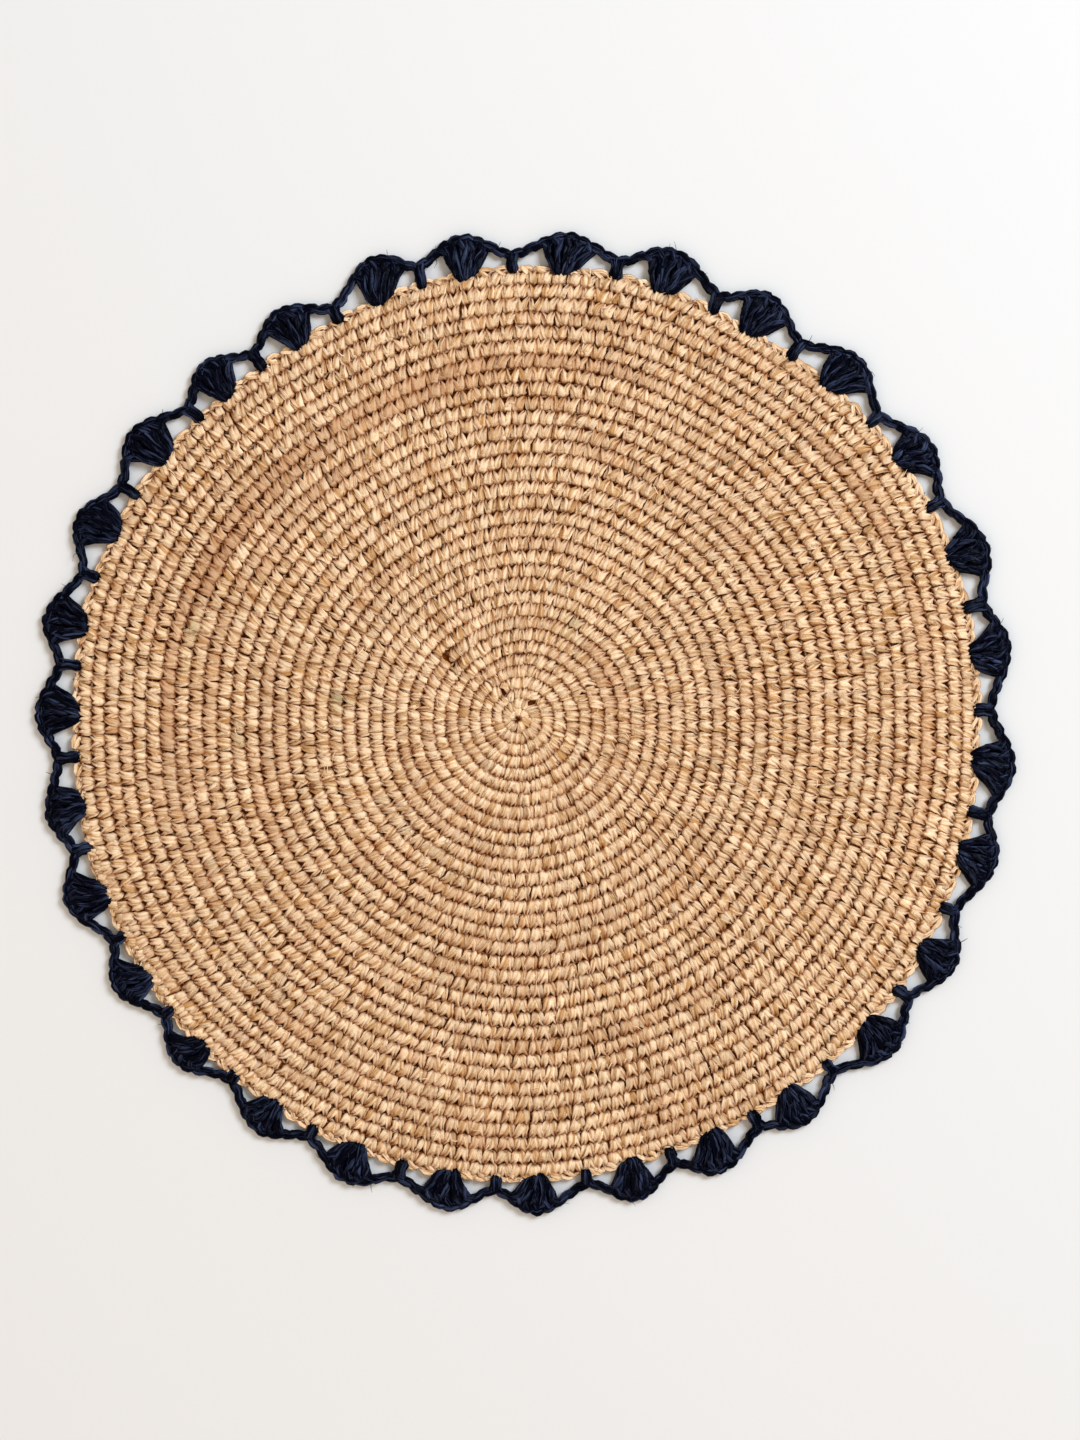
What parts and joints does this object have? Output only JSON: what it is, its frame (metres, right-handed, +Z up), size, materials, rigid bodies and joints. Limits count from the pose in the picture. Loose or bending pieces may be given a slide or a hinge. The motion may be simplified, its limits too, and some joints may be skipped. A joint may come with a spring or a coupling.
{
  "type": "crocheted raffia placemat",
  "caption": "Round flat placemat crocheted in natural raffia in one spiral, with an openwork scalloped border in navy raffia.",
  "frame": {"origin": "under the middle of the whole outline, on the surface that the placemat lies on", "axes": "+Z up out of the right side of the crochet, +Y towards the top of the picture"},
  "size_m": [0.3792, 0.3804, 0.005],
  "materials": {
    "natural_raffia": "straw-coloured pleated plant fibre, softly satin",
    "navy_raffia": "dyed pleated plant fibre, softly satin"
  },
  "bodies": {
    "root": {"mat": "natural_raffia", "border": "navy_raffia"}
  },
  "joints": []
}
